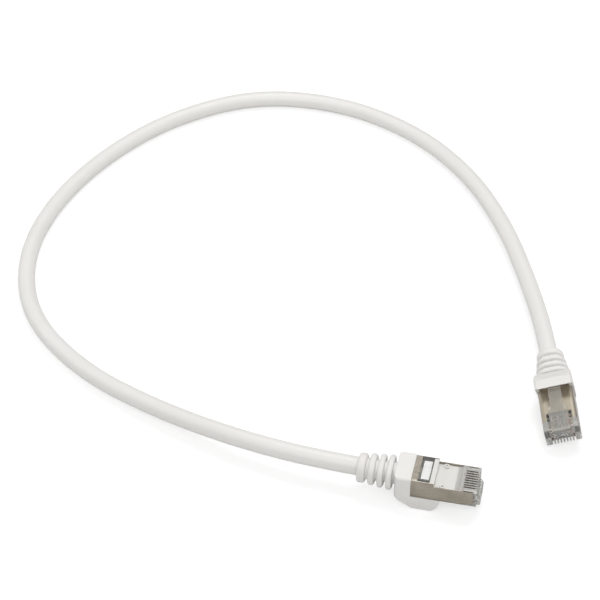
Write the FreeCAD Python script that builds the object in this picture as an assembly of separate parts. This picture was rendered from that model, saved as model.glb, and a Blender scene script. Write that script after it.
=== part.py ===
import FreeCAD, Part
import math
import os

# A shielded patch cord: a round cable lying in one open loop, with a moulded boot and an
# eight-contact modular plug at each end. All sizes are in millimetres.
#
# Each plug is drawn in its own plug space and then laid down in the part's frame:
# x = 0 is the nose face and the cable runs towards -x, y is across the plug, z = 0 is the
# latch face and the contact side is towards +z.

V = FreeCAD.Vector

# Cable
jacket_diameter = 6.0
jacket_wall = 0.6
braid_thickness = 0.14
foil_thickness = 0.04
layer_slip = 0.04
insulation_diameter = 0.9
conductor_diameter = 0.48
conductor_slip = 0.01
wire_count = 8
layer_pitch = 1.03
layer_gap = 1.0

# Plug envelope, common to every eight-contact modular plug
plug_width = 11.7
housing_length = 21.5
cable_height = 4.2
room_over_jacket = 0.8
step_back = 13.0
step_drop = 1.4
latch_edge_round = 1.4

# Metal shell
sheet = 0.25
shell_slip = 0.05
shell_front = 0.4
nose_ahead = 0.5
shell_side_drop = 0.1
shell_edge_round = 0.5
shell_band = 3.2
plate_front = 3.6
plate_slot_length = 3.4
plate_slot_side_room = 1.15
plate_slot_depth = 0.5
corner_height = 1.4
collar_end_room = 0.25
collar_wall = 0.27

# Braid folded back over the jacket, under the collar
cuff_thickness = 0.2
cuff_length = 3.3
cuff_slip = 0.04

# Clear housing
top_wall = 0.05
cavity_clearance = 0.2
cavity_front = 14.1
cavity_ceiling_bite = 0.1
fan_front = 7.6
fan_side_room = 0.28
recess_front = 4.9
recess_ramp_back = 7.4
recess_depth = 0.8
recess_ramp_sag = 0.25
side_gap_back = 3.65
side_gap_width = 0.3
side_gap_depth = 1.6
fan_low = 1.5
fan_high = 5.4
front_edge_round = 0.5
pocket_rib = 0.4
pocket_high = 1.3
pocket_inset = 0.1
pocket_latch_room = 0.15
slot_floor_step = 0.1
boss_back = 10.5
boss_side = 4.6
boss_diameter = 1.7
boss_rise = 0.6
boss_hole_diameter = 0.8

# Wires inside the plug
wire_pitch = 1.02
wire_row_height = 2.6
wire_tip = 1.2
row_slot_room = 0.05
row_slot_side_room = 0.1
wire_tip_room = 0.2
row_back = 9.0
layer_back = 10.6
bundle_lead = 1.2

# Contacts
contact_thickness = 0.35
contact_back = 3.8
contact_front = 0.1
contact_recess = 0.5
contact_foot = 3.2
contact_teeth = (1.5, 3.0)
contact_tooth_width = 0.5
contact_tooth_gap = 0.02
contact_nose_radius = 1.0
contact_front_web = 3.1
slot_slip = 0.1

# Comb that holds the eight wires in their row
comb_front = 6.6
comb_length = 2.3
comb_base = 1.5
comb_top = 2.45
comb_slip = 0.05
comb_groove_slip = 0.03

# Bar that is pressed down on the jacket inside the plug
clamp_front = 14.9
jacket_past_clamp = 0.3
clamp_length = 2.6
clamp_width = 8.2
clamp_side_room = 0.35
clamp_sunk = 0.45
clamp_bite = 0.35
clamp_slip = 0.05
clamp_mark_length = 1.4
clamp_mark_width = 3.0
clamp_mark_depth = 0.1

# Latch
latch_width = 6.1
latch_tail_width = 4.2
latch_length = 15.5
latch_shoulder = 8.2
latch_knuckle_radius = 0.45
latch_knuckle_ahead = 1.2
latch_knuckle_gap = 0.03
latch_root_drop = 0.12
latch_pad_high = 4.8
latch_pad_bend = 1.8
latch_tail_inner = 2.45
latch_tail_thickness = 0.75

# Boot
boot_front = 20.3
boot_proud = 0.35
boot_box_length = 5.4
boot_pocket_slip = 0.05
boot_pocket_depth = 1.5
boot_bore_slip = 0.15
collar_bore_room = 0.15
boot_edge_round = 0.9
boot_shoulder_round = 1.8
ring_gap = 0.95
ring_lengths = [2.7, 2.1, 1.9, 1.9]
ring_widths = [9.2, 10.1, 10.9, 11.6]
ring_heights = [9.2, 9.3, 9.4, 9.5]
ring_corner_share = 0.91
ring_edge_round = 0.85
sleeve_wall = 0.3

# Hood over the latch, moulded in one with the boot. Plug a rests on its soft hood, which is
# pressed: its cheeks reach far forward along the plug. The hood of plug b is free and leans
# forward, so its cheeks end near the box and its roof reaches furthest.
hood_depth = 4.5
hood_cheek_pressed = 9.2
hood_cheek_free = 1.9
hood_roof_pressed = 5.3
hood_roof_free = 5.6
hood_lip_pressed = 7.3
hood_lip_free = 6.0
hood_flat_back = 1.5
hood_wall = 1.0
hood_side_wall = 1.2
hood_side_rise = 0.9
hood_root = 0.2
hood_root_slope = 1.7
hood_back_bulge = 0.55
hood_tip_bulge = 0.6
hood_lean_pressed = 0.26
hood_lean_free = 0.6

# Where the plugs and the cable lie. Headings are turned from +X towards +Y.
plug_a_nose = (4.2, -31.3)
plug_a_heading = 0.0
plug_b_nose = (26.63, -0.12)
plug_b_heading = -76.3
plug_b_roll = 15.6
first_bend = 46.5
free_route = [
    V(-74.5, -26.5, 7.5),
    V(-106.5, -15.5, 4.5),
    V(-136.5, -1.5, 3.0),
    V(-162.0, 21.0, 3.0),
    V(-174.0, 53.0, 3.0),
    V(-172.5, 86.5, 3.0),
    V(-161.5, 118.5, 3.0),
    V(-143.0, 146.5, 3.0),
    V(-115.5, 167.0, 3.0),
    V(-81.5, 169.5, 3.0),
    V(-50.0, 157.5, 3.0),
    V(-25.0, 135.0, 3.5),
    V(-7.0, 106.5, 4.0),
    V(6.0, 75.5, 5.0),
]
arc_share = 0.45

# Sizes that follow from the ones above
wire_row_width = (wire_count - 1) * wire_pitch + insulation_diameter
row_slot_width = wire_row_width + 2 * row_slot_side_room
row_slot_height = insulation_diameter + 2 * row_slot_room
fan_width = wire_row_width + 2 * fan_side_room
cavity_width = clamp_width + 2 * clamp_side_room
jacket_top = cable_height + jacket_diameter / 2
rear_height = jacket_top + room_over_jacket
nose_height = rear_height - step_drop
clamp_top = rear_height - clamp_sunk
jacket_end = clamp_front - jacket_past_clamp
bundle_back = jacket_end - bundle_lead
collar_length = cuff_length + 2 * collar_end_room
plate_slot_width = latch_width + 2 * plate_slot_side_room
half_plug = plug_width / 2
inner_half = half_plug - sheet - shell_slip
shell_back = housing_length + sheet
housing_floor = sheet + shell_slip
housing_top = rear_height - sheet - top_wall
shell_side_top = nose_height - shell_side_drop
braid_outer = jacket_diameter - 2 * jacket_wall - 2 * layer_slip
braid_inner = braid_outer - 2 * braid_thickness
foil_outer = braid_inner - 2 * layer_slip
foil_inner = foil_outer - 2 * foil_thickness
cuff_inner = jacket_diameter + 2 * cuff_slip
cuff_outer = cuff_inner + 2 * cuff_thickness
collar_inner = cuff_outer + 2 * cuff_slip
collar_outer = collar_inner + 2 * collar_wall
clamp_bottom = jacket_top - clamp_bite
knuckle_drop = latch_knuckle_radius + latch_knuckle_gap
latch_pad_ahead = latch_knuckle_ahead + latch_knuckle_radius
ribbed_length = sum(ring_lengths) + ring_gap * len(ring_lengths)
boot_back = boot_front + boot_box_length + ribbed_length
cable_bore_diameter = jacket_diameter + 2 * boot_bore_slip


def span(back, front, width, low, high):
    """A block centred across the plug, from x = -back to x = -front."""
    return Part.makeBox(back - front, width, high - low, V(-back, -width / 2, low))


def side_blocks(back, front, inner, outer, low, high):
    """Two blocks, one on each side, from y = inner to y = outer."""
    blocks = []
    for y in (-outer, inner):
        blocks.append(Part.makeBox(back - front, outer - inner, high - low, V(-back, y, low)))
    return blocks


def rod_x(back, front, diameter, y=0.0, z=cable_height):
    """A round bar along x, from x = -back to x = -front."""
    return Part.makeCylinder(diameter / 2, back - front, V(-back, y, z), V(1, 0, 0))


def rod_z(x, y, diameter, low):
    """A short round bar that stands on a height and reaches out through the top."""
    return Part.makeCylinder(diameter / 2, rear_height, V(x, y, low))


def rounded_below(width, low, radius):
    """A long block over the plug's length, with its two lower long edges rounded."""
    block = span(housing_length + 2, -2, width, low, rear_height + 1)
    return round_edges(block, radius, lambda edge: runs_along_x(edge) and edge.BoundBox.ZMax < low + 0.001)


def plate_from_profile(points, width):
    """A flat outline in the xz plane, drawn out to a width centred across the plug."""
    corners = [V(x, -width / 2, z) for x, z in points]
    face = Part.Face(Part.makePolygon(corners + corners[:1]))
    return face.extrude(V(0, width, 0))


def round_edges(shape, radius, wanted):
    """Round the straight or curved edges that the test picks out."""
    edges = [edge for edge in shape.Edges if wanted(edge)]
    return shape.makeFillet(radius, edges)


def runs_along_x(edge):
    box = edge.BoundBox
    return box.XLength > 1.0 and box.YLength < 0.001 and box.ZLength < 0.001


def lies_at_x(edge, x):
    box = edge.BoundBox
    return abs(box.XMin - x) < 0.001 and abs(box.XMax - x) < 0.001


def wire_y(number):
    """Place of a wire or contact across the plug, counted from 1."""
    return (number - (wire_count + 1) / 2) * wire_pitch


def layer_y(number):
    """Place of a wire across the cable: four wires in each of two layers."""
    column = (number - 1) // 2
    return (column - (wire_count / 2 - 1) / 2) * layer_pitch


def layer_side(number):
    """Odd wires lie in one layer of the cable and even wires in the other."""
    if number % 2:
        return layer_gap / 2
    return -layer_gap / 2


# Plug pieces, in plug space

def shell_shape():
    """Folded metal shell: two side walls, the latch-side plate, the band and the collar."""
    outline = [
        (-shell_back, 0),
        (-shell_back, rear_height),
        (-step_back, rear_height),
        (-step_back, shell_side_top),
        (-shell_front, shell_side_top),
        (-shell_front, corner_height),
        (-plate_front, corner_height),
        (-plate_front, 0),
    ]
    walls = plate_from_profile(outline, plug_width)
    walls = round_edges(walls, shell_edge_round,
                        lambda edge: runs_along_x(edge) and edge.BoundBox.ZMin > rear_height - 0.001)
    walls = walls.common(rounded_below(plug_width, 0, latch_edge_round))
    inner_width = plug_width - 2 * sheet
    inside = rounded_below(inner_width, sheet, latch_edge_round - sheet)
    inside = inside.common(span(housing_length, -1, plug_width, 0, rear_height + 1))
    roof = span(housing_length + 1, housing_length - shell_band, plug_width,
                rear_height - sheet, rear_height + 1)
    walls = walls.cut(inside.cut(roof))
    slot = span(plate_front + plate_slot_length, 0, plate_slot_width, -1, sheet + plate_slot_depth)
    walls = walls.cut(slot)
    collar = rod_x(housing_length + collar_length, housing_length, collar_outer)
    bore = rod_x(housing_length + collar_length + 1, housing_length - 1, collar_inner)
    return walls.fuse(collar).cut(bore).removeSplitter()


def recess_shape():
    """The sunk top between the cable block and the contacts, with a hollow ramp at its front."""
    y = -plug_width
    floor = nose_height - recess_depth
    ramp_middle = V(-(recess_front + recess_ramp_back) / 2, y,
                    nose_height - recess_depth / 2 - recess_ramp_sag)
    corners = [
        V(-recess_front, y, nose_height),
        V(-recess_front, y, rear_height),
        V(-step_back, y, rear_height),
        V(-step_back, y, floor),
        V(-recess_ramp_back, y, floor),
    ]
    edges = Part.makePolygon(corners).Edges
    edges.append(Part.Arc(corners[-1], ramp_middle, corners[0]).toShape())
    return Part.Face(Part.Wire(edges)).extrude(V(0, 2 * plug_width, 0))


def latch_pad_shape():
    """The thick bend at the nose that the latch springs from."""
    y = -latch_width / 2
    corners = [V(nose_ahead, y, latch_pad_high), V(-shell_front, y, latch_pad_high),
               V(-shell_front, y, 0),
               V(latch_pad_ahead, y, 0), V(latch_pad_ahead, y, latch_pad_bend)]
    edges = Part.makePolygon(corners).Edges
    bend = math.sqrt(0.5)
    middle = V(nose_ahead + (latch_pad_ahead - nose_ahead) * bend, y,
               latch_pad_bend + (latch_pad_high - latch_pad_bend) * bend)
    edges.append(Part.Arc(corners[-1], middle, corners[0]).toShape())
    return Part.Face(Part.Wire(edges)).extrude(V(0, latch_width, 0))


def boss_shapes():
    """Two round bosses that stand in the sunk top."""
    floor = nose_height - recess_depth
    bosses = []
    for y in (-boss_side, boss_side):
        bosses.append(Part.makeCylinder(boss_diameter / 2, boss_rise + sheet,
                                        V(-boss_back, y, floor - sheet)))
    return bosses


def housing_shape():
    """Clear moulded body with its cable cavity, wire row and eight contact slots."""
    clear = shell_slip
    rear = span(housing_length - clear, step_back, 2 * inner_half, housing_floor, housing_top)
    front = span(step_back + clear, 0, 2 * inner_half, housing_floor, nose_height)
    nose = span(shell_front - clear, -nose_ahead, plug_width, 0, nose_height)
    corner = span(plate_front - clear, -nose_ahead, plug_width, 0, corner_height - clear)
    inner_round = latch_edge_round - housing_floor
    body = rear.fuse(front).common(rounded_below(2 * inner_half, housing_floor, inner_round))
    body = body.fuse(nose.fuse(corner).common(rounded_below(plug_width, 0, latch_edge_round)))
    around = round_edges(span(housing_length, -nose_ahead, plug_width, -1, rear_height), front_edge_round,
                         lambda edge: lies_at_x(edge, nose_ahead) and edge.BoundBox.ZLength > nose_height)
    body = body.common(around).removeSplitter()
    body = body.cut(recess_shape()).fuse([latch_pad_shape()] + boss_shapes())
    cavity_low = cable_height - jacket_diameter / 2 - cavity_clearance
    cavity_high = jacket_top + cavity_clearance
    cuts = [
        span(housing_length + 1, cavity_front, cavity_width, cavity_low, cavity_high),
        span(cavity_front + 1, fan_front, fan_width, fan_low, fan_high),
        span(fan_front + 1, wire_tip - wire_tip_room, row_slot_width,
             wire_row_height - row_slot_height / 2, wire_row_height + row_slot_height / 2),
        span(comb_front + comb_length + comb_slip, comb_front - comb_slip,
             fan_width - 2 * comb_slip, comb_base - comb_slip, wire_row_height),
        span(clamp_front + clamp_length + clamp_slip, clamp_front - clamp_slip,
             clamp_width + 2 * clamp_slip, cavity_high - cavity_ceiling_bite, rear_height + 1),
    ]
    slot_width = contact_thickness + 2 * slot_slip
    for number in range(1, wire_count + 1):
        behind = span(contact_back + slot_slip, shell_front, slot_width, wire_row_height, nose_height + 1)
        ahead = span(shell_front + slot_floor_step, -1, slot_width, contact_front_web, nose_height + 1)
        for slot in (behind, ahead):
            slot.translate(V(0, wire_y(number), 0))
            cuts.append(slot)
    pocket_middle = plate_front + plate_slot_length / 2
    pocket_ends = ((plate_front + plate_slot_length - pocket_inset, pocket_middle + pocket_rib / 2),
                   (pocket_middle - pocket_rib / 2, plate_front + pocket_inset))
    for back, front in pocket_ends:
        cuts.extend(side_blocks(back, front, latch_width / 2 + pocket_latch_room,
                                plate_slot_width / 2 - pocket_inset, -1, pocket_high))
    cuts.extend(side_blocks(side_gap_back, shell_front - clear, inner_half - side_gap_width, half_plug,
                            nose_height - side_gap_depth, nose_height + 1))
    for y in (-boss_side, boss_side):
        cuts.append(rod_z(-boss_back, y, boss_hole_diameter, nose_height - recess_depth))
    return body.cut(cuts)


def latch_shape():
    """Sprung latch: a round root at the nose, a wide locking part and a narrow tail."""
    root_x = latch_knuckle_ahead
    tail_outer = latch_tail_inner + latch_tail_thickness
    root_outer = knuckle_drop + latch_knuckle_radius
    arm = plate_from_profile([
        (root_x, -latch_root_drop),
        (-latch_length, -latch_tail_inner),
        (-latch_length, -tail_outer),
        (root_x, -root_outer),
    ], latch_width)
    beside_tail = side_blocks(latch_length + 1, latch_shoulder, latch_tail_width / 2, latch_width,
                              -tail_outer - 1, 0)
    knuckle = Part.makeCylinder(latch_knuckle_radius, latch_width,
                                V(root_x, -latch_width / 2, -knuckle_drop), V(0, 1, 0))
    return arm.cut(beside_tail).fuse(knuckle).removeSplitter()


def contact_shape(number):
    """Gold-plated blade with two teeth that reach through the insulation to the wire."""
    top = nose_height - contact_recess
    tooth_tip = wire_row_height + conductor_diameter / 2 + contact_tooth_gap
    round_x = -contact_front - contact_nose_radius
    arc_x = round_x + contact_nose_radius * math.sin(math.pi / 4)
    arc_z = top - contact_nose_radius * (1 - math.cos(math.pi / 4))
    half_tooth = contact_tooth_width / 2
    lower = []
    for tooth in contact_teeth:
        lower += [(half_tooth - tooth, contact_foot), (-tooth, tooth_tip),
                  (-half_tooth - tooth, contact_foot)]
    outline = [(-contact_front, contact_foot)] + lower
    outline += [(-contact_back, contact_foot), (-contact_back, top), (round_x, top)]
    corners = [V(x, -contact_thickness / 2, z) for x, z in outline]
    nose = Part.Arc(corners[-1], V(arc_x, -contact_thickness / 2, arc_z),
                    V(-contact_front, -contact_thickness / 2, top - contact_nose_radius)).toShape()
    front = Part.LineSegment(V(-contact_front, -contact_thickness / 2, top - contact_nose_radius),
                             corners[0]).toShape()
    edges = Part.makePolygon(corners).Edges + [nose, front]
    blade = Part.Face(Part.Wire(edges)).extrude(V(0, contact_thickness, 0))
    blade.translate(V(0, wire_y(number), 0))
    return blade


def comb_shape():
    """Comb under the wire row, with one round groove for each wire."""
    bar = span(comb_front + comb_length, comb_front, fan_width - 4 * comb_slip, comb_base, comb_top)
    grooves = []
    for number in range(1, wire_count + 1):
        grooves.append(rod_x(comb_front + comb_length + 1, comb_front - 1,
                             insulation_diameter + 2 * comb_groove_slip, wire_y(number), wire_row_height))
    return bar.cut(grooves)


def clamp_shape():
    """Bar that is pressed down through the housing's window on to the jacket."""
    bar = span(clamp_front + clamp_length, clamp_front, clamp_width, clamp_bottom, clamp_top)
    middle = clamp_front + clamp_length / 2
    mark = span(middle + clamp_mark_length / 2, middle - clamp_mark_length / 2, clamp_mark_width,
                clamp_top - clamp_mark_depth, clamp_top + 1)
    return bar.cut(mark)


def cuff_shape():
    """The braid's end, folded back over the jacket under the collar."""
    back = shell_back + cuff_slip + cuff_length
    front = shell_back + cuff_slip
    return rod_x(back, front, cuff_outer).cut(rod_x(back + 1, front - 1, cuff_inner))


def ring_shape(back, length, width, height):
    """One rib of the strain relief, a rounded slab across the cable."""
    slab = Part.makeBox(length, width, height, V(-back, -width / 2, cable_height - height / 2))
    slab = round_edges(slab, ring_corner_share * min(width, height) / 2, runs_along_x)
    return round_edges(slab, ring_edge_round,
                       lambda edge: lies_at_x(edge, -back) or lies_at_x(edge, length - back))


def boot_body_shape(hood_cheek, hood_roof, hood_lean):
    """Box that grips the plug's rear, in one with the hood over the latch."""
    box_back = -boot_front - boot_box_length
    top = rear_height + boot_proud
    width = plug_width + 2 * boot_proud
    y = -width / 2
    flat_front = -boot_front + hood_roof
    flat_back = -boot_front + hood_flat_back
    hood_tip = -boot_front + hood_cheek
    corners = [
        V(hood_tip, y, hood_side_rise),
        V(-boot_front, y, hood_side_rise),
        V(-boot_front, y, top),
        V(box_back, y, top),
        V(box_back, y, -boot_proud),
    ]
    edges = Part.makePolygon(corners).Edges
    slope_middle = V((box_back + flat_back) / 2, y, -hood_depth * hood_back_bulge)
    edges.append(Part.Arc(corners[-1], slope_middle, V(flat_back, y, -hood_depth)).toShape())
    edges.append(Part.LineSegment(V(flat_back, y, -hood_depth), V(flat_front, y, -hood_depth)).toShape())
    lean = hood_tip + hood_lean * (flat_front - hood_tip)
    tip_middle = V(lean, y, -hood_depth * hood_tip_bulge)
    edges.append(Part.Arc(V(flat_front, y, -hood_depth), tip_middle, corners[0]).toShape())
    body = Part.Face(Part.Wire(edges)).extrude(V(0, width, 0))
    length = max(hood_tip, flat_front) - box_back
    along = Part.makeBox(length + 2, width, top + hood_depth, V(box_back - 1, y, -hood_depth))
    along = round_edges(along, boot_edge_round, runs_along_x)
    upright = Part.makeBox(length, width, top + hood_depth, V(box_back, y, -hood_depth))
    upright = round_edges(upright, boot_shoulder_round,
                          lambda edge: lies_at_x(edge, box_back) and edge.BoundBox.YLength < 0.001)
    return body.common(along).common(upright)


def boot_shape(hood_cheek, hood_roof, hood_lean, hood_lip):
    """Moulded boot: ribbed strain relief, box and hood, with the bore for the cable."""
    boot = boot_body_shape(hood_cheek, hood_roof, hood_lean)
    back = boot_back
    sleeve = rod_x(boot_back, boot_front, cable_bore_diameter + 2 * sleeve_wall)
    boot = boot.fuse(sleeve)
    for index, length in enumerate(ring_lengths):
        boot = boot.fuse(ring_shape(back, length, ring_widths[index], ring_heights[index]))
        back = back - length - ring_gap
    slip = boot_pocket_slip
    length = boot_front + boot_pocket_depth
    plug_room = span(length, -1, plug_width + 2 * slip, -slip, rear_height + slip)
    plug_room = round_edges(plug_room, shell_edge_round,
                            lambda edge: runs_along_x(edge) and edge.BoundBox.ZMin > rear_height)
    plug_room = plug_room.common(rounded_below(plug_width + 2 * slip, -slip, latch_edge_round))
    collar_bore = rod_x(housing_length + collar_length + collar_bore_room, boot_front,
                        collar_outer + 2 * slip)
    cable_bore = rod_x(boot_back + 1, boot_front - 1, cable_bore_diameter)
    hood_back = -boot_front + hood_root
    lip = -boot_front + hood_lip
    hood_end = -boot_front + max(hood_cheek, hood_lip) + 2
    mouth = plate_from_profile([
        (hood_back, hood_side_rise + 1),
        (hood_back, -hood_depth / 2),
        (hood_back + hood_root_slope, hood_wall - hood_depth),
        (lip, hood_wall - hood_depth),
        (lip, -hood_depth - 1),
        (hood_end, -hood_depth - 1),
        (hood_end, hood_side_rise + 1),
    ], plug_width + 2 * boot_proud - 2 * hood_side_wall)
    return boot.cut([plug_room, collar_bore, cable_bore, mouth]).removeSplitter()


# Cable pieces, in the part's frame

def rounded_path(points):
    """Straight runs joined by arcs, each as large as its two runs allow."""
    edges = []
    radii = []
    start = points[0]
    for before, corner, after in zip(points, points[1:], points[2:]):
        arriving = corner - before
        leaving = after - corner
        half_turn = arriving.getAngle(leaving) / 2
        reach = arc_share * min(arriving.Length, leaving.Length)
        radius = reach / math.tan(half_turn)
        arriving.normalize()
        leaving.normalize()
        arc_start = corner - arriving * reach
        arc_end = corner + leaving * reach
        inward = (leaving - arriving).normalize()
        arc_middle = corner + inward * (radius / math.cos(half_turn) - radius)
        edges.append(Part.LineSegment(start, arc_start).toShape())
        edges.append(Part.Arc(arc_start, arc_middle, arc_end).toShape())
        radii.append(radius)
        start = arc_end
    edges.append(Part.LineSegment(start, points[-1]).toShape())
    return Part.Wire(edges), radii


def pipe(path, points, diameter):
    """A round solid bar along a path."""
    ring = Part.Circle(points[0], points[1] - points[0], diameter / 2).toShape()
    return path.makePipeShell([Part.Wire(ring)], True, False)


def hollow_pipe(points, outer, inner):
    path, radii = rounded_path(points)
    return pipe(path, points, outer).cut(pipe(path, points, inner)), path, radii


def beside_route(points, side, up, twist):
    """The route's inner points, moved to a wire's place in the cable."""
    moved = []
    last = len(points) - 1
    for index in range(1, last):
        arriving = (points[index] - points[index - 1]).normalize()
        leaving = (points[index + 1] - points[index]).normalize()
        half_turn = arriving.getAngle(leaving) / 2
        along = (arriving + leaving).normalize()
        right = along.cross(V(0, 0, 1)).normalize()
        above = right.cross(along)
        angle = math.radians(twist) * index / last
        across = side * math.cos(angle) - up * math.sin(angle)
        rise = side * math.sin(angle) + up * math.cos(angle)
        moved.append(points[index] + right * (across / math.cos(half_turn)) + above * rise)
    return moved


def plug_end_points(number, layer_z):
    """A wire's points inside a plug, from its tip to the cable, in plug space."""
    return [
        V(-wire_tip, wire_y(number), wire_row_height),
        V(-row_back, wire_y(number), wire_row_height),
        V(-layer_back, wire_y(number), layer_z),
        V(-bundle_back, layer_y(number), layer_z),
    ]


def grounded(rotation, nose, pieces):
    """A placement that stands the turned pieces on the ground, with the nose at its place."""
    turned = [piece.transformed(FreeCAD.Placement(V(), rotation).toMatrix()) for piece in pieces]
    lowest = min(piece.optimalBoundingBox().ZMin for piece in turned)
    return FreeCAD.Placement(V(nose[0], nose[1], -lowest), rotation)


def save(name, shape):
    shape.exportStep("parts/" + name + ".step")
    print(name, "solids", len(shape.Solids), "volume", round(shape.Volume, 2), "valid", shape.isValid())


def main():
    os.makedirs("parts", exist_ok=True)
    plug_pieces = {
        "housing": housing_shape(),
        "latch": latch_shape(),
        "shell": shell_shape(),
        "wire_comb": comb_shape(),
        "jacket_clamp": clamp_shape(),
        "braid_cuff": cuff_shape(),
    }
    boots = {
        "a": boot_shape(hood_cheek_pressed, hood_roof_pressed, hood_lean_pressed, hood_lip_pressed),
        "b": boot_shape(hood_cheek_free, hood_roof_free, hood_lean_free, hood_lip_free),
    }
    contacts = [contact_shape(number) for number in range(1, wire_count + 1)]
    turn = FreeCAD.Rotation
    turned_a = turn(V(0, 0, 1), plug_a_heading)
    turned_b = turn(V(0, 0, 1), plug_b_heading).multiply(turn(V(1, 0, 0), 180 + plug_b_roll))
    place_a = grounded(turned_a, plug_a_nose, list(plug_pieces.values()) + [boots["a"]])
    place_b = grounded(turned_b, plug_b_nose, list(plug_pieces.values()) + [boots["b"]])

    placed = {}
    for side, place in (("a", place_a), ("b", place_b)):
        for name, shape in plug_pieces.items():
            placed[name + "_" + side] = shape.transformed(place.toMatrix())
        placed["boot_" + side] = boots[side].transformed(place.toMatrix())
        for number, shape in enumerate(contacts, 1):
            placed["contact_%s_%d" % (side, number)] = shape.transformed(place.toMatrix())

    def axis_point(place, distance):
        return place.multVec(V(-distance, 0, cable_height))

    route = [axis_point(place_a, jacket_end), axis_point(place_a, first_bend)]
    route += free_route
    route += [axis_point(place_b, first_bend), axis_point(place_b, jacket_end)]

    jacket, jacket_path, radii = hollow_pipe(route, jacket_diameter, jacket_diameter - 2 * jacket_wall)
    section = math.pi * (jacket_diameter * jacket_wall - jacket_wall ** 2)
    print("jacket length", round(jacket_path.Length, 1), "smallest radius", round(min(radii), 1))
    print("radii", [round(radius) for radius in radii])
    print("jacket volume over section times length", round(jacket.Volume / (section * jacket_path.Length), 4))
    jacket = jacket.cut([placed["jacket_clamp_a"], placed["jacket_clamp_b"]])
    placed["cable_jacket"] = jacket
    placed["cable_braid"] = hollow_pipe(route, braid_outer, braid_inner)[0]
    placed["cable_foil"] = hollow_pipe(route, foil_outer, foil_inner)[0]

    conductors = []
    for number in range(1, wire_count + 1):
        height = layer_side(number)
        points = [place_a.multVec(point) for point in plug_end_points(number, cable_height + height)]
        points += beside_route(route, layer_y(number), height, -plug_b_roll)
        far_end = [place_b.multVec(point) for point in plug_end_points(number, cable_height - height)]
        points += far_end[::-1]
        insulation = hollow_pipe(points, insulation_diameter, conductor_diameter + 2 * conductor_slip)[0]
        teeth = [placed["contact_%s_%d" % (side, number)] for side in ("a", "b")]
        placed["wire_%d" % number] = insulation.cut(teeth)
        conductors.append(pipe(rounded_path(points)[0], points, conductor_diameter))
    placed["copper_conductors"] = Part.makeCompound(conductors)

    for name, shape in placed.items():
        save(name, shape)

    plugs = Part.makeCompound([shape for name, shape in placed.items() if name[-2:] in ("_a", "_b")])
    around = plugs.optimalBoundingBox()
    print("plugs' middle", around.Center, "lowest", around.ZMin)
    print("nose a", place_a.Base, "nose b", place_b.Base)


main()
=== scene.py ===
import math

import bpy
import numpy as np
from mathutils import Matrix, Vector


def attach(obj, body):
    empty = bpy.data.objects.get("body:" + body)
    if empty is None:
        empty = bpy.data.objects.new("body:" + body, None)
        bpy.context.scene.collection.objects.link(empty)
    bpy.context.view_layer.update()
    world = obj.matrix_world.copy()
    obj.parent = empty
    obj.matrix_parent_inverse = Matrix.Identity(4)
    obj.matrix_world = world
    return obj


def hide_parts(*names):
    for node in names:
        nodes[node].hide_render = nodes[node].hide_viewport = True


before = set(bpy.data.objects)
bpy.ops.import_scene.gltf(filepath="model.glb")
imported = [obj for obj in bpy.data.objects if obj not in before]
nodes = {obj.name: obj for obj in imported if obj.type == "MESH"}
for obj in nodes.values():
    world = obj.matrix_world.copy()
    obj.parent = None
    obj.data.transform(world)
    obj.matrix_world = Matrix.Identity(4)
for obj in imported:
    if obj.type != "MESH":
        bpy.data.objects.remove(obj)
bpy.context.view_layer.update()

# %% [markdown]
# This scene dresses a short shielded patch cord: a round white cable that lies in one open
# loop on a pale table, with a modular plug in a moulded boot at each end. The frame that was
# just loaded holds every piece of it at its true size, in metres.

MM = 0.001
cord_body = "cord_and_plugs"

# %% [markdown]
# The two plugs say where everything else goes. Each was drawn in a space of its own, with
# x = 0 on its nose, the cable towards -x and z = 0 on the latch face, and was then turned
# and laid down. The same turn and place give the two ends of the cable, and later the finishes
# that follow a plug.

# %% Where the two plugs lie
plug_nose = {"a": (4.2, -31.3, 4.5), "b": (26.63, -0.12, 9.5008)}
plug_heading = {"a": 0.0, "b": -76.3}
plug_roll = {"a": 0.0, "b": 180 + 15.6}


def plug_turn(side):
    """Turn by the roll about the plug's own length, then by the heading about the upright."""
    heading = Matrix.Rotation(math.radians(plug_heading[side]), 3, "Z")
    roll = Matrix.Rotation(math.radians(plug_roll[side]), 3, "X")
    return heading @ roll


print("plug b is turned by", plug_heading["b"], "degrees and rolled by", plug_roll["b"])

# %% [markdown]
# The cable is one length of round cord, so it is a curve: a smooth NURBS line that is given
# a round section. Its control points are the route's own corners, the same ones the solid
# cable was drawn from, so the line lies where that solid is. A NURBS curve of order three
# rounds each corner evenly, as a springy cable does, and the first and last points sit
# on the axis of a plug, so the cable leaves each boot straight.

# %% The cable's route
cable_height = 4.2  # of the axis over the latch face, in the plug's own space
jacket_end = 14.6  # behind the nose, where the jacket stops inside the plug
first_bend = 46.5  # behind the nose, where the cable starts to bend
jacket_diameter = 6.0


def from_plug(side, points):
    """Points in plug space, in millimetres, brought to the frame, in metres."""
    turn = np.array(plug_turn(side))
    return (np.asarray(points, float) @ turn.T + np.array(plug_nose[side])) * MM


free_route = np.array([
    (-74.5, -26.5, 7.5), (-106.5, -15.5, 4.5), (-136.5, -1.5, 3.0), (-162.0, 21.0, 3.0),
    (-174.0, 53.0, 3.0), (-172.5, 86.5, 3.0), (-161.5, 118.5, 3.0), (-143.0, 146.5, 3.0),
    (-115.5, 167.0, 3.0), (-81.5, 169.5, 3.0), (-50.0, 157.5, 3.0), (-25.0, 135.0, 3.5),
    (-7.0, 106.5, 4.0), (6.0, 75.5, 5.0),
]) * MM
near_end = from_plug("a", [(-jacket_end, 0, cable_height), (-first_bend, 0, cable_height)])
far_end = from_plug("b", [(-first_bend, 0, cable_height), (-jacket_end, 0, cable_height)])
route = np.vstack([near_end, free_route, far_end])
print("the route has", len(route), "corners")

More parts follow.
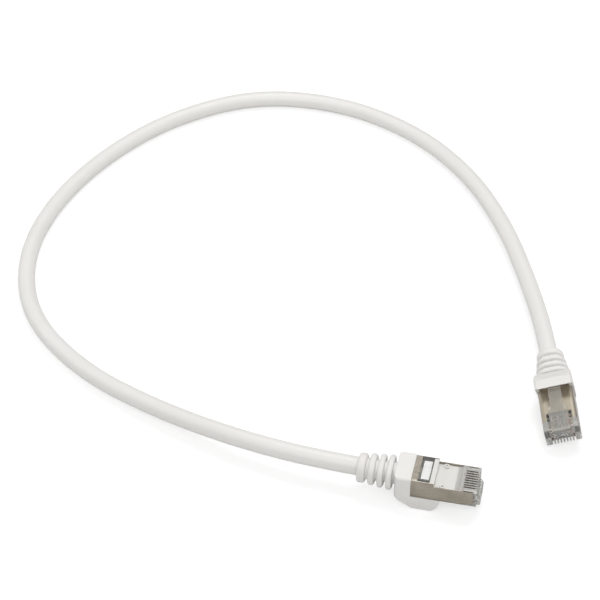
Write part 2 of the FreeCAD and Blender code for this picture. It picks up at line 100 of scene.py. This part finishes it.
# %% [markdown]
# A NURBS spline keeps a radius on each of its points. The radius of the round section is the
# point's radius times the bevel depth. With a depth of one the points alone say how thick the
# cable is, and the box round the curve counts it too.

# %% The cable
spline_order = 3
steps_between_corners = 24
steps_round_section = 10


def nurbs_line(name, points, radius, ring_steps):
    """A round bar on one open NURBS spline that has the points as its control points."""
    curve = bpy.data.curves.new(name, "CURVE")
    curve.dimensions = "3D"
    spline = curve.splines.new("NURBS")
    spline.points.add(len(points) - 1)
    spline.points.foreach_set("co", np.column_stack([points, np.ones(len(points))]).ravel())
    spline.points.foreach_set("radius", [radius] * len(points))
    spline.order_u = spline_order
    spline.use_endpoint_u = True
    curve.resolution_u = steps_between_corners
    curve.bevel_depth = 1.0
    curve.bevel_resolution = ring_steps
    curve.use_fill_caps = True
    made = bpy.data.objects.new(name, curve)
    bpy.context.scene.collection.objects.link(made)
    return made


cable = nurbs_line("cable_jacket_drawn", route, jacket_diameter / 2 * MM, steps_round_section)
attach(cable, cord_body)
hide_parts("cable_jacket")
print("the cable is", jacket_diameter, "mm thick")

# %% [markdown]
# The camera stands where the photographer's did: about seventy centimetres from the middle of
# the loop and looking down at about forty degrees, through a long lens. The long lens keeps
# the far side of the loop nearly as large as the near side.

# %% Camera
camera_tilt = math.radians(41.0)
camera_turn = math.radians(12.74)
camera_place = Vector((0.04486, -0.46355, 0.4604))
lens_mm = 118.7
camera_data = bpy.data.cameras.new("camera")
camera_data.sensor_width = 36.0
camera_data.lens = lens_mm
camera_data.clip_start = 0.05
camera_data.clip_end = 20.0
camera = bpy.data.objects.new("camera", camera_data)
camera.location = camera_place
camera.rotation_euler = (math.pi / 2 - camera_tilt, 0.0, camera_turn)
bpy.context.scene.collection.objects.link(camera)
bpy.context.scene.camera = camera
print("the camera stands", round(camera_place.z, 2), "m above the table")

# %% [markdown]
# Every colour below is written as the eye reads it on a screen, and one function turns it
# into the linear values that a shader works with.

# %% Colour
def linear(hex_colour):
    """sRGB hex to linear red, green, blue and full alpha.

    A dark channel is divided by 12.92. A brighter one gets 0.055 more, is divided by 1.055
    and raised to the power 2.4.
    """
    channels = np.array([int(hex_colour[i:i + 2], 16) for i in (1, 3, 5)]) / 255
    low = channels / 12.92
    high = ((channels + 0.055) / 1.055) ** 2.4
    return (*np.where(channels <= 0.04045, low, high).tolist(), 1.0)


print("mid grey #808080 is", round(linear("#808080")[0], 3), "in linear light")

# %% [markdown]
# A material is a small network of nodes. One function adds a node, sets its inputs and joins
# its links, so each material further down reads as a short list. One more gives a finished
# material to pieces of the frame.

# %% Node helpers
def add_node(material, kind, links=None, **settings):
    """Add a node; settings are its own properties or inputs, links are input to output."""
    node = material.node_tree.nodes.new(kind)
    for key, value in settings.items():
        if hasattr(node, key):
            setattr(node, key, value)
        else:
            node.inputs[key.replace("_", " ")].default_value = value
    for key, output in (links or {}).items():
        material.node_tree.links.new(output, node.inputs[key])
    return node


def new_material(name):
    """An empty node material with its output, and that output."""
    material = bpy.data.materials.new(name)
    material.use_nodes = True
    material.node_tree.nodes.clear()
    output = material.node_tree.nodes.new("ShaderNodeOutputMaterial")
    return material, output


def finish_material(material, output, shader):
    """Join the shader to the output and give the material back."""
    material.node_tree.links.new(shader.outputs[0], output.inputs["Surface"])
    print("material", material.name)
    return material


def dress(node_names, material):
    """Give CAD nodes their finish."""
    for name in node_names:
        slots = nodes[name].material_slots
        for index in range(len(slots)):
            slots[index].material = material
        if not slots:
            nodes[name].data.materials.append(material)


print("the frame has", len(nodes), "named pieces")

# %% [markdown]
# A finish often follows the piece it is on: the rolling marks of the sheet run along the plug,
# and the frosted patch of the clear body lies at one place on it. Both plugs are the same
# piece turned two ways, so the finishes are laid out in plug space. A Mapping node of the
# texture kind undoes the turn and the place of one plug, and gives millimetres.

# %% Plug space inside a material
def plug_space(material, side):
    """Object coordinates brought back to the plug's own space, in millimetres."""
    place = add_node(material, "ShaderNodeTexCoord")
    mapping = add_node(material, "ShaderNodeMapping", {"Vector": place.outputs["Object"]},
                       vector_type="TEXTURE")
    mapping.inputs["Location"].default_value = [value * MM for value in plug_nose[side]]
    mapping.inputs["Rotation"].default_value = plug_turn(side).to_euler("XYZ")
    mapping.inputs["Scale"].default_value = (MM, MM, MM)
    return mapping.outputs["Vector"]


def millimetres(material):
    """Object coordinates in millimetres, for pieces that belong to neither plug."""
    place = add_node(material, "ShaderNodeTexCoord")
    mapping = add_node(material, "ShaderNodeMapping", {"Vector": place.outputs["Object"]})
    mapping.inputs["Scale"].default_value = (1 / MM, 1 / MM, 1 / MM)
    return mapping.outputs["Vector"]


print("one unit of plug space is", MM, "m")

# %% [markdown]
# Small functions make every pattern. Noise gives soft clouds of a real size. A ramp carries a
# value from the range it reads, its first two numbers, to the range it gives, its last two. A
# colour mix goes from one colour to the next, and a bump tilts the light as a relief of a real
# depth would. The last two do arithmetic and read the place along one axis.

# %% Patterns
cloud_low, cloud_high = 0.35, 0.65  # most of a noise lies between these two values


def noise(material, vector, size_mm, detail=3.0, roughness=0.55, stretch=(1.0, 1.0, 1.0)):
    """Noise with features of one size; stretch draws them out along the axes."""
    mapping = add_node(material, "ShaderNodeMapping", {"Vector": vector})
    mapping.inputs["Scale"].default_value = [1 / (size_mm * s) for s in stretch]
    return add_node(material, "ShaderNodeTexNoise", {"Vector": mapping.outputs["Vector"]},
                    Scale=1.0, Detail=detail, Roughness=roughness).outputs["Fac"]


def ramp(material, value, low, high, to_low, to_high):
    """A value carried evenly from one range to another, and held at its ends."""
    return add_node(material, "ShaderNodeMapRange", {"Value": value}, From_Min=low,
                    From_Max=high, To_Min=to_low, To_Max=to_high).outputs["Result"]


def mix_colour(material, factor, first, second):
    """Two colours mixed by a factor; each is a hex colour or another node's output."""
    mixed = add_node(material, "ShaderNodeMix", {"Factor": factor}, data_type="RGBA")
    for index, colour in ((6, first), (7, second)):
        if isinstance(colour, str):
            mixed.inputs[index].default_value = linear(colour)
        else:
            material.node_tree.links.new(colour, mixed.inputs[index])
    return mixed.outputs[2]


def bump(material, height, depth_mm, strength=1.0, under=None):
    """A bump of a real depth, laid over another one when that is given."""
    links = {"Height": height}
    if under is not None:
        links["Normal"] = under
    return add_node(material, "ShaderNodeBump", links, Strength=strength,
                    Distance=depth_mm * MM).outputs["Normal"]


def math_node(material, operation, first, second):
    """Two values subtracted, multiplied or compared; each is a number or a node's output."""
    node = add_node(material, "ShaderNodeMath", operation=operation)
    for index, value in enumerate((first, second)):
        if isinstance(value, float):
            node.inputs[index].default_value = value
        else:
            material.node_tree.links.new(value, node.inputs[index])
    return node.outputs[0]


def plug_axis(material, vector, axis):
    """The place along one axis of a vector, in its own units."""
    return add_node(material, "ShaderNodeSeparateXYZ", {"Vector": vector}).outputs[axis]


print("clouds are read between", cloud_low, "and", cloud_high)

# %% [markdown]
# The jacket is extruded white PVC. The hot plastic cools with a faint orange-peel skin and a
# satin gleam, and handling leaves broad patches that are a little duller. Its white is not
# quite even: thicker places look a touch warmer.

# %% Extruded jacket
pvc_ior = 1.53


def extruded_jacket(name, colour, warm):
    """White plastic with patches of handling, orange-peel waves and a fine skin."""
    material, output = new_material(name)
    vector = millimetres(material)
    clouds = noise(material, vector, size_mm=22.0, detail=2.0)
    tint = mix_colour(material, clouds, colour, warm)
    patches = noise(material, vector, size_mm=9.0, detail=4.0)
    handled = ramp(material, patches, cloud_low, cloud_high, 0.36, 0.5)
    peel = noise(material, vector, size_mm=2.2, detail=2.0)
    waves = bump(material, peel, depth_mm=0.03, strength=0.5)
    grain = noise(material, vector, size_mm=0.35)
    skin = bump(material, grain, depth_mm=0.012, strength=0.6, under=waves)
    shader = add_node(material, "ShaderNodeBsdfPrincipled",
                      {"Base Color": tint, "Roughness": handled, "Normal": skin}, IOR=pvc_ior)
    return finish_material(material, output, shader)


cable.data.materials.append(extruded_jacket("white_pvc_extruded_satin", "#E7E6E3", "#E3E1DC"))

# %% [markdown]
# The boots are moulded from a softer white PVC. The tool is spark eroded, which leaves an even
# fine grain and a wide gleam, and the two halves of the tool meet in a thin line at the
# height of the cable's axis.

# %% Moulded boots
parting_inner, parting_outer = 0.03, 0.09  # half widths of the line: its crest and its foot


def moulded_boot(name, side, colour, cool):
    """White plastic with a fine grain, and a thin raised line at the cable's height.

    The line is one where the distance from that height is below its crest's half width, and
    falls to zero at its foot's.
    """
    material, output = new_material(name)
    vector = plug_space(material, side)
    clouds = noise(material, vector, size_mm=7.0, detail=2.0)
    tint = mix_colour(material, clouds, colour, cool)
    patches = noise(material, vector, size_mm=3.0, detail=4.0)
    worn = ramp(material, patches, cloud_low, cloud_high, 0.44, 0.6)
    sparks = noise(material, vector, size_mm=0.22)
    grain = bump(material, sparks, depth_mm=0.02, strength=0.7)
    off_line = math_node(material, "SUBTRACT", plug_axis(material, vector, "Z"), cable_height)
    away = add_node(material, "ShaderNodeMath", {0: off_line}, operation="ABSOLUTE").outputs[0]
    line = ramp(material, away, parting_inner, parting_outer, 1.0, 0.0)
    parting = bump(material, line, depth_mm=0.03, strength=0.6, under=grain)
    shader = add_node(material, "ShaderNodeBsdfPrincipled",
                      {"Base Color": tint, "Roughness": worn, "Normal": parting}, IOR=pvc_ior)
    return finish_material(material, output, shader)


for side in "ab":
    dress(["boot_" + side], moulded_boot("white_pvc_moulded_fine_grain_" + side, side,
                                         "#E6E4E0", "#E1E0DD"))

# %% [markdown]
# The shell is thin steel sheet with a nickel plate, which looks a warm grey. The sheet was
# rolled before it was stamped, so fine marks run along the plug and draw its gleam out across
# them. Nickel tarnishes a little brown where fingers have been. The plate under the latch has
# painted light, a lighter colour for its shade under the boot's hood, and it was left unpolished.

# %% Plated shells
plate_low, plate_high = 0.3, 0.6  # over the latch face, where the plate under the latch ends


def plated_steel(name, side):
    """Rolled sheet with marks along the plug, clouds of tarnish, and painted light: a brighter
    latch side for the plate's shade under the hood.

    Its roughness is the larger of the rolled sheet's and the plate's.
    """
    material, output = new_material(name)
    vector = plug_space(material, side)
    rolled = noise(material, vector, size_mm=0.12, detail=3.0, roughness=0.6,
                   stretch=(40.0, 1.0, 1.0))
    clouds = noise(material, vector, size_mm=5.0, detail=3.0)
    tarnish = ramp(material, clouds, 0.35, 0.7, 0.0, 1.0)
    sheet_tint = mix_colour(material, tarnish, "#A9A296", "#979083")
    height = plug_axis(material, vector, "Z")
    # Painted light: the plate under the latch face gets a lighter colour that lifts its shade
    # under the hood.
    painted_plate_light = ramp(material, height, plate_low, plate_high, 1.0, 0.0)
    tint = mix_colour(material, painted_plate_light, sheet_tint, "#C6BDAC")
    sheet_rough = ramp(material, rolled, 0.3, 0.7, 0.22, 0.38)
    plate_rough = ramp(material, height, plate_low, plate_high, 0.55, 0.0)
    rough = math_node(material, "MAXIMUM", sheet_rough, plate_rough)
    marks = bump(material, rolled, depth_mm=0.006, strength=0.5)
    waves = noise(material, vector, size_mm=1.8, detail=2.0)
    dents = bump(material, waves, depth_mm=0.03, strength=0.35, under=marks)
    shader = add_node(material, "ShaderNodeBsdfPrincipled",
                      {"Base Color": tint, "Roughness": rough, "Normal": dents}, Metallic=1.0)
    return finish_material(material, output, shader)


for side in "ab":
    dress(["shell_" + side], plated_steel("nickel_plated_steel_rolled_" + side, side))

# %% [markdown]
# The body of the plug is clear polycarbonate, moulded in a polished tool. Two places on the
# contact side are left matt by the tool and look frosted: the cross rib and the sunk flat
# behind the contacts, with a fading edge where the flat bends up to them. The thin walls
# between the contacts are less than half as matt, for they are hard to polish, and the face
# under the latch is a fifth as matt, which veils the coloured wires behind it.

# %% Frosted faces
zone_back, zone_front = -16.0, 2.0  # along the plug, the ends of the frost's own ramp
wall_back, wall_front = -4.6, -4.2  # along the plug, where the walls between contacts begin
flat_height, wall_height = 5.4, 6.4  # frosted faces lie above these behind and at the walls
nose_edge, nose_step = 0.2, 3.0  # the nose face lies this near x = 0 and reaches this far down
edge_fade = 0.2
latch_face_low, latch_face_high = 0.5, 1.0
frost_latch_side = 0.2
frost_along = ((-14.5, 0.0), (-14.35, 1.0), (-6.9, 1.0), (-6.4, 0.65), (wall_back, 0.5),
               (wall_front, 0.42))


def grey(share):
    """A grey for a colour ramp that stands for a share."""
    return (share, share, share, 1.0)


def frosted_zone(material, vector):
    """One on the frosted faces and zero elsewhere, from the place along and up the plug.

    The contact side's share along the plug is multiplied by how far the place is above the
    zone's floor. The floor rises behind the contacts and drops in front of the nose. The
    result is the larger of that product and the share of the latch side.
    """
    x = plug_axis(material, vector, "X")
    z = plug_axis(material, vector, "Z")
    along = add_node(material, "ShaderNodeValToRGB",
                     {"Fac": ramp(material, x, zone_back, zone_front, 0.0, 1.0)})
    stops = along.color_ramp.elements
    for place, share in frost_along:
        stops.new((place - zone_back) / (zone_front - zone_back)).color = grey(share)
    stops[0].color = grey(0.0)
    stops[-1].color = grey(frost_along[-1][1])
    floor_of_zone = ramp(material, x, wall_back, wall_front, flat_height, wall_height)
    nose_drop = ramp(material, x, -nose_edge, nose_edge, 0.0, nose_step)
    lowered = math_node(material, "SUBTRACT", floor_of_zone, nose_drop)
    above = math_node(material, "SUBTRACT", z, lowered)
    high = ramp(material, above, 0.0, edge_fade, 0.0, 1.0)
    contact_side = math_node(material, "MULTIPLY", along.outputs["Color"], high)
    latch_side = ramp(material, z, latch_face_low, latch_face_high, frost_latch_side, 0.0)
    return math_node(material, "MAXIMUM", contact_side, latch_side)


print("the body is frosted from", frost_along[1][0], "to", frost_along[2][0], "mm")

# %% [markdown]
# Frosting scatters the light at the surface. There the plastic lets less light straight
# through, is rougher and has a fine grain. Everywhere else a faint smear of handling makes it
# a little uneven. The pressed bar is the same plastic in a milky grade.

# %% Clear polycarbonate
polycarbonate_ior = 1.58
frosted_rough = 0.5
frosted_clear = 0.2


def blend_to(material, factor, value, goal):
    """A value that goes over to a goal where the factor is one."""
    return add_node(material, "ShaderNodeMix", {"Factor": factor, "A": value}, B=goal).outputs[0]


def clear_plastic(name, side, colour, haze, gleam, frosted=False):
    """Clear plastic; haze is the light held back, gleam the roughness of its cleanest faces.

    The light let through is one minus haze, give or take eight hundredths of the haze, and
    the roughness runs from the gleam to 1.8 times the gleam.
    """
    material, output = new_material(name)
    vector = plug_space(material, side)
    smear = noise(material, vector, size_mm=1.6, detail=3.0)
    rough = ramp(material, smear, 0.35, 0.7, gleam, gleam * 1.8)
    clear = ramp(material, smear, 0.3, 0.7, 1.0 - haze * 0.92, 1.0 - haze * 1.08)
    waves = noise(material, vector, size_mm=3.0, detail=2.0)
    flow = bump(material, waves, depth_mm=0.03, strength=0.3)
    if frosted:
        zone = frosted_zone(material, vector)
        rough = blend_to(material, zone, rough, frosted_rough)
        clear = blend_to(material, zone, clear, frosted_clear)
        grain = noise(material, vector, size_mm=0.12, detail=2.0)
        frost = math_node(material, "MULTIPLY", grain, zone)
        flow = bump(material, frost, depth_mm=0.02, strength=0.8, under=flow)
    shader = add_node(material, "ShaderNodeBsdfPrincipled",
                      {"Roughness": rough, "Transmission Weight": clear, "Normal": flow},
                      Base_Color=linear(colour), IOR=polycarbonate_ior)
    return finish_material(material, output, shader)


clear_pieces = {  # finish, colour, haze, gleam, frosted
    "housing": ("clear_polycarbonate_body", "#EEEDE8", 0.12, 0.07, True),
    "latch": ("clear_polycarbonate_latch", "#F5F3EE", 0.16, 0.06, False),
    "wire_comb": ("clear_polycarbonate_comb", "#F5F5F3", 0.3, 0.12, False),
    "jacket_clamp": ("milky_polycarbonate_bar", "#F2F2F0", 0.85, 0.3, False),
}
for side in "ab":
    for piece, (finish, colour, haze, gleam, frosted) in clear_pieces.items():
        plastic = clear_plastic(finish + "_" + side, side, colour, haze, gleam, frosted)
        dress([piece + "_" + side], plastic)

# %% [markdown]
# The contacts are phosphor bronze with gold flash over nickel, drawn a little matt by the
# stamping; their gold is painted a dark brown, as painted shade in the narrow slots. The foil
# is thin aluminium with creases, and the copper is soft and drawn.

# %% Contacts, foil and cores
def marked_metal(name, colour, second, low_rough, high_rough, size_mm, depth_mm):
    """Metal with one colour that drifts to another, and marks of a real size and depth.

    The patches of roughness are three times as large as the marks.
    """
    material, output = new_material(name)
    vector = millimetres(material)
    marks = noise(material, vector, size_mm=size_mm, detail=4.0)
    drift = ramp(material, marks, cloud_low, cloud_high, 0.0, 1.0)
    tint = mix_colour(material, drift, colour, second)
    patches = noise(material, vector, size_mm=size_mm * 3)
    rough = ramp(material, patches, 0.3, 0.7, low_rough, high_rough)
    relief = bump(material, marks, depth_mm=depth_mm, strength=0.6)
    shader = add_node(material, "ShaderNodeBsdfPrincipled",
                      {"Base Color": tint, "Roughness": rough, "Normal": relief}, Metallic=1.0)
    return finish_material(material, output, shader)


wire_numbers = range(1, 9)
contacts = ["contact_%s_%d" % (side, number) for side in "ab" for number in wire_numbers]
# Painted shade: both contact colours are dark browns, much darker than bare gold, for the shade
# in the slots.
dress(contacts, marked_metal("gold_flash_with_painted_slot_shade", "#805B2C", "#4C371F", low_rough=0.3,
                             high_rough=0.46, size_mm=0.25, depth_mm=0.006))
dress(["cable_foil"],
      marked_metal("aluminium_foil_creased", "#D0D0D2", "#BCBDC0", low_rough=0.15,
                   high_rough=0.3, size_mm=1.2, depth_mm=0.05))
dress(["copper_conductors"],
      marked_metal("bare_copper_drawn", "#C07A50", "#A9683F", low_rough=0.28,
                   high_rough=0.42, size_mm=0.3, depth_mm=0.006))

# %% [markdown]
# The braid is a weave of fine tinned wires. Two wave patterns run across it, one mirrored, and
# the higher of the two is the wire that lies on top. Where the weave lies low, its colour is
# painted darker as painted shade between the wires.

# %% Braid
def woven_braid(name):
    """Fine tinned wires laid both ways round; the weave is the larger of two crossed waves,
    painted darker where it is low as shade between the wires.
    """
    material, output = new_material(name)
    vector = millimetres(material)
    waves = []
    for direction in ((1.0, 1.0, 1.0), (1.0, -1.0, 1.0)):
        turned = add_node(material, "ShaderNodeMapping", {"Vector": vector})
        turned.inputs["Scale"].default_value = direction
        waves.append(add_node(material, "ShaderNodeTexWave", {"Vector": turned.outputs["Vector"]},
                              bands_direction="DIAGONAL", Scale=1.6, Distortion=0.4,
                              Detail=1.0).outputs["Fac"])
    weave = math_node(material, "MAXIMUM", waves[0], waves[1])
    # Painted shade: the low places of the weave get the darker colour.
    tint = mix_colour(material, weave, "#8F8D88", "#CFCDC7")
    rough = ramp(material, weave, 0.0, 1.0, 0.5, 0.32)
    relief = bump(material, weave, depth_mm=0.08, strength=0.7)
    shader = add_node(material, "ShaderNodeBsdfPrincipled",
                      {"Base Color": tint, "Roughness": rough, "Normal": relief}, Metallic=1.0)
    return finish_material(material, output, shader)


dress(["cable_braid", "braid_cuff_a", "braid_cuff_b"], woven_braid("tinned_copper_braid"))

# %% [markdown]
# Each wire has a thin skin of coloured polyethylene. The four pairs follow the common colour
# order: a solid colour and its pale partner. Extruding leaves faint streaks, and the colour is
# never perfectly even.

# %% Coloured wires
polyethylene_ior = 1.5


def wire_plastic(name, colour, second):
    """Coloured plastic skin, whose streaks are a little rougher where the colour drifts."""
    material, output = new_material(name)
    vector = millimetres(material)
    clouds = noise(material, vector, size_mm=1.5, detail=3.0)
    tint = mix_colour(material, clouds, colour, second)
    rough = ramp(material, clouds, 0.3, 0.7, 0.28, 0.42)
    skin = noise(material, vector, size_mm=0.2)
    relief = bump(material, skin, depth_mm=0.008, strength=0.5)
    shader = add_node(material, "ShaderNodeBsdfPrincipled",
                      {"Base Color": tint, "Roughness": rough, "Normal": relief},
                      IOR=polyethylene_ior)
    return finish_material(material, output, shader)


wire_colours = (("#F2D3B4", "#EEC39A"), ("#E8772A", "#DD6A20"), ("#BFE3C4", "#AFDAB6"),
                ("#2F62B8", "#2857A8"), ("#BED0EE", "#AEC3E6"), ("#2E9150", "#268244"),
                ("#DCC9B8", "#CDB6A2"), ("#7A4A2C", "#6C3F24"))
for number, (colour, second) in zip(wire_numbers, wire_colours):
    dress(["wire_%d" % number], wire_plastic("polyethylene_wire_%d" % number, colour, second))

# %% [markdown]
# The pieces of the far plug, its housing, latch, shell, comb, bar, cuff, boot and contacts,
# are gathered in one list.

# %% The far plug's pieces
plug_pieces = ["housing", "latch", "shell", "wire_comb", "jacket_clamp", "braid_cuff", "boot"]
far_pieces = [nodes[piece + "_b"] for piece in plug_pieces]
far_pieces += [nodes["contact_b_%d" % number] for number in wire_numbers]
print("the far plug is made of", len(far_pieces), "pieces")

# %% [markdown]
# The floor is a matt white table. To the camera it also gives off just enough light to read
# as the plain white of a studio sheet, while the shadow that the cord throws on it still
# shows; through clear plastic six tenths of that lift is seen. Every other ray meets only the
# matt paint, so the undersides of the cord stay darker than the tops.

# %% Floor
floor_size = 6.0
lift_through_plastic = 0.6
sheet_glow = 0.62
bpy.ops.mesh.primitive_plane_add(size=floor_size)
floor = bpy.context.object
floor.name = "floor"
floor_paint, floor_output = new_material("white_table")
rays = add_node(floor_paint, "ShaderNodeLightPath")
passed = rays.outputs["Is Transmission Ray"]
through = ramp(floor_paint, passed, 0.0, 1.0, 0.0, lift_through_plastic)
seen = math_node(floor_paint, "MAXIMUM", rays.outputs["Is Camera Ray"], through)
glow = add_node(floor_paint, "ShaderNodeEmission", Color=linear("#FFFFFF"), Strength=sheet_glow)
shadowed = add_node(floor_paint, "ShaderNodeBsdfDiffuse", Color=linear("#B4B4B4"))
sheet = add_node(floor_paint, "ShaderNodeAddShader", {0: shadowed.outputs[0], 1: glow.outputs[0]})
matt = add_node(floor_paint, "ShaderNodeBsdfDiffuse", Color=linear("#E2E2E2"))
table = add_node(floor_paint, "ShaderNodeMixShader",
                 {0: seen, 1: matt.outputs[0], 2: sheet.outputs[0]})
finish_material(floor_paint, floor_output, table)
floor.data.materials.append(floor_paint)

# %% [markdown]
# The room is white where the camera sees past the table, and gives a soft even light to all
# the rest.

# %% Room
room_strength = 0.36
world = bpy.data.worlds.new("studio")
bpy.context.scene.world = world
world.use_nodes = True
sky = world.node_tree.nodes["Background"]
sky.inputs["Color"].default_value = linear("#FFFFFF")
direct_view = add_node(world, "ShaderNodeLightPath").outputs["Is Camera Ray"]
strength = ramp(world, direct_view, 0.0, 1.0, room_strength, 1.0)
world.node_tree.links.new(strength, sky.inputs["Strength"])
print("the room gives", room_strength, "of full white")

# %% [markdown]
# Large soft lamps shape the pieces. The strongest is above the camera, so the cord is
# brightest along its middle and darker towards both of its edges. One more hangs behind, over
# the far side of the loop, which is the brightest in the picture, and a weak one on each side
# lights the outer flanks.

# %% Lamps
def softbox(name, place, target, width, height, watts):
    """A flat lamp of a given size that looks from its place at a target."""
    lamp_data = bpy.data.lights.new(name, "AREA")
    lamp_data.shape = "RECTANGLE"
    lamp_data.size = width
    lamp_data.size_y = height
    lamp_data.energy = watts
    lamp = bpy.data.objects.new(name, lamp_data)
    lamp.location = place
    lamp.rotation_euler = (Vector(target) - Vector(place)).to_track_quat("-Z", "Y").to_euler()
    bpy.context.scene.collection.objects.link(lamp)
    print(name, "gives", watts, "W")


softbox("back_softbox", place=(-0.02, 0.34, 0.82), target=(-0.04, 0.1, 0.0),
        width=0.5, height=0.3, watts=3.0)
softbox("front_softbox", place=(0.05, -0.66, 0.88), target=(-0.05, 0.05, 0.0),
        width=0.7, height=0.5, watts=4.3)
softbox("left_softbox", place=(-0.6, 0.05, 0.3), target=(-0.1, 0.06, 0.0),
        width=0.5, height=0.35, watts=0.7)
softbox("right_softbox", place=(0.5, -0.05, 0.3), target=(0.0, 0.05, 0.0),
        width=0.5, height=0.35, watts=0.55)

bpy.context.scene.view_settings.view_transform = "Standard"

# %% [markdown]
# At the end the view layer is brought up to date.

# %% Last update
bpy.context.view_layer.update()
